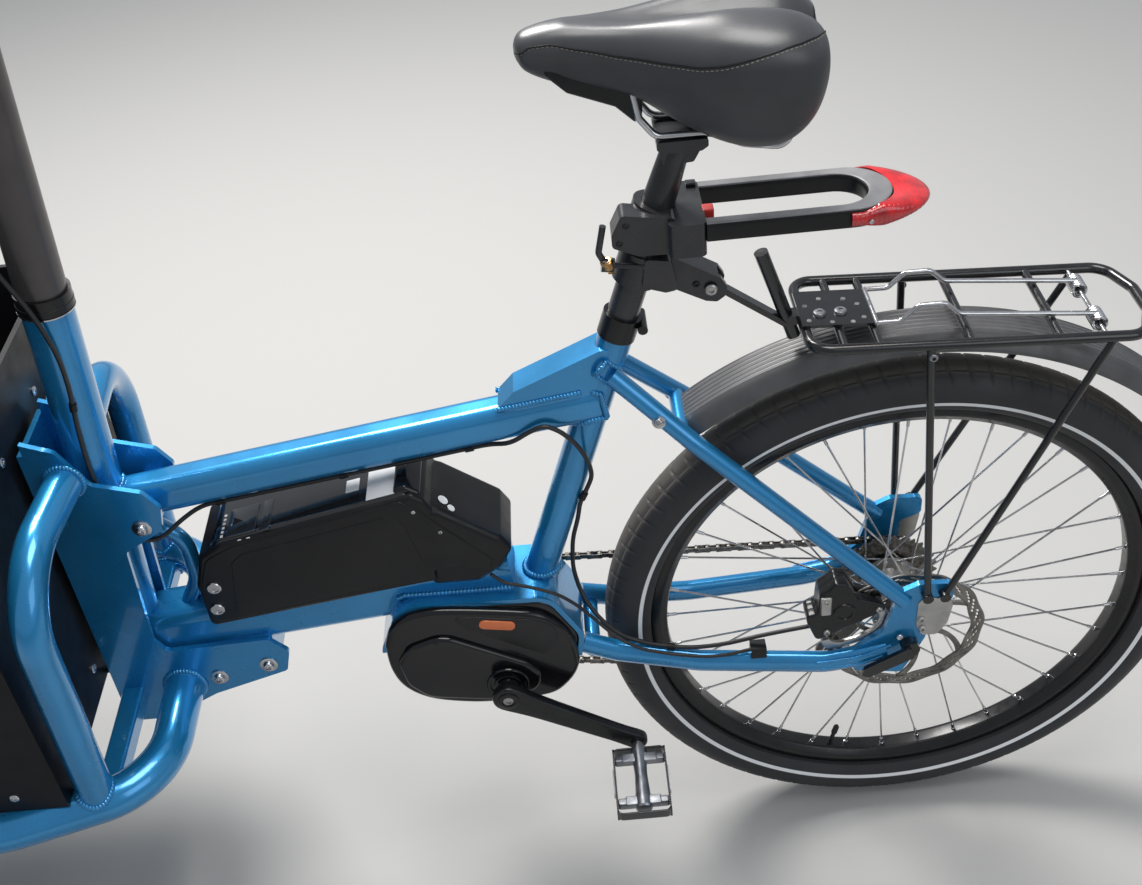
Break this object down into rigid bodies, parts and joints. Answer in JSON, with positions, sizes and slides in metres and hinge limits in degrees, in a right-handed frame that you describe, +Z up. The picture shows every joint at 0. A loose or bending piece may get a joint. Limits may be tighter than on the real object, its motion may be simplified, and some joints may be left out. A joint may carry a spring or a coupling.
{
  "type": "long-john electric cargo bicycle",
  "caption": "Two-wheeled electric cargo bicycle with an open load box ahead of the rider, mid motor, frame battery, rear rack, cable-linked front fork and fold-down stand.",
  "frame": {"origin": "centre of the bounding box's base, on the floor", "axes": "+X forward along the bicycle, +Y to the rider's left, +Z up"},
  "size_m": [2.4829, 0.6808, 1.2111],
  "materials": {
    "tyre": "matte",
    "blue_paint": "gloss",
    "black_metal": "satin",
    "bright_steel": "satin",
    "black_plastic": "satin",
    "mudguard_black": "matte",
    "panel_black": "matte",
    "grip_rubber": "matte",
    "cable_black": "matte",
    "saddle_cover": "satin",
    "red_lens": "gloss"
  },
  "bodies": {
    "frame": {"rear_frame": "blue_paint", "rear_axle": "bright_steel", "motor_housing": "black_plastic", "battery_case": "black_plastic", "battery_mount": "black_plastic", "chain": "bright_steel", "derailleur": "black_metal", "rear_caliper": "black_metal", "rear_mudguard": "mudguard_black", "rack": "black_metal", "rack_springs": "bright_steel", "seat_collar": "black_metal", "seatpost": "black_metal", "saddle": "saddle_cover", "saddle_rails": "bright_steel", "lamp_bracket": "black_plastic", "carrier_loop": "black_plastic", "tail_lamp": "red_lens", "headset": "black_metal", "clamp_bracket": "blue_paint", "cargo_cradle": "blue_paint", "box_floor_panel": "panel_black", "box_rear_panel": "panel_black", "box_front_panel": "panel_black", "box_side_panels": "panel_black", "front_headset": "black_metal", "steering_cables": "cable_black", "control_cables": "cable_black", "cable_clips": "black_plastic"},
    "rear_wheel": {"rear_tyre": "tyre", "rear_rim": "black_metal", "rear_hub": "bright_steel", "rear_rotor": "bright_steel", "cassette": "bright_steel"},
    "front_wheel": {"front_tyre": "tyre", "front_rim": "black_metal", "front_hub": "bright_steel", "front_rotor": "bright_steel"},
    "crank": {"crank_arms": "black_metal", "chainring": "black_metal"},
    "pedal_left_body": {"pedal_left": "black_metal"},
    "pedal_right_body": {"pedal_right": "black_metal"},
    "column": {"steering_column": "black_metal", "handlebar": "black_metal", "grips": "grip_rubber", "brake_levers": "black_metal", "bar_hose": "cable_black"},
    "fork": {"front_fork": "black_metal", "front_axle": "bright_steel", "front_mudguard": "mudguard_black", "front_caliper": "black_metal"},
    "stand_body": {"stand": "black_metal"}
  },
  "joints": [
    {"name": "rear_wheel_spin", "type": "hinge", "parent": "frame", "child": "rear_wheel", "pos_m": [-0.8725, 0, 0.338], "axis": [0, 1, 0], "continuous": true},
    {"name": "crank_spin", "type": "hinge", "parent": "frame", "child": "crank", "pos_m": [-0.4165, 0, 0.32], "axis": [0, 1, 0], "continuous": true},
    {"name": "pedal_left_spin", "type": "hinge", "parent": "crank", "child": "pedal_left_body", "pos_m": [-0.55826, 0.15, 0.22617], "axis": [0, 1, 0], "continuous": true},
    {"name": "pedal_right_spin", "type": "hinge", "parent": "crank", "child": "pedal_right_body", "pos_m": [-0.27473, -0.15, 0.41383], "axis": [0, 1, 0], "continuous": true},
    {"name": "column_turn", "type": "hinge", "parent": "frame", "child": "column", "pos_m": [-0.0321, 0, 0.845], "axis": [-0.0698, 0, 0.9976], "range_deg": [-40, 40]},
    {"name": "fork_turn", "type": "hinge", "parent": "frame", "child": "fork", "pos_m": [0.81092, 0, 0.65], "axis": [-0.342, 0, 0.9397], "range_deg": [-40, 40]},
    {"name": "front_wheel_spin", "type": "hinge", "parent": "fork", "child": "front_wheel", "pos_m": [0.9875, 0, 0.254], "axis": [0, 1, 0], "continuous": true},
    {"name": "stand_fold", "type": "hinge", "parent": "frame", "child": "stand_body", "pos_m": [0.4075, 0, 0.286], "axis": [0, 1, 0], "range_deg": [0, 84]}
  ],
  "couplings": [
    {"joint": "fork_turn", "follows": "column_turn", "ratio": 1}
  ]
}
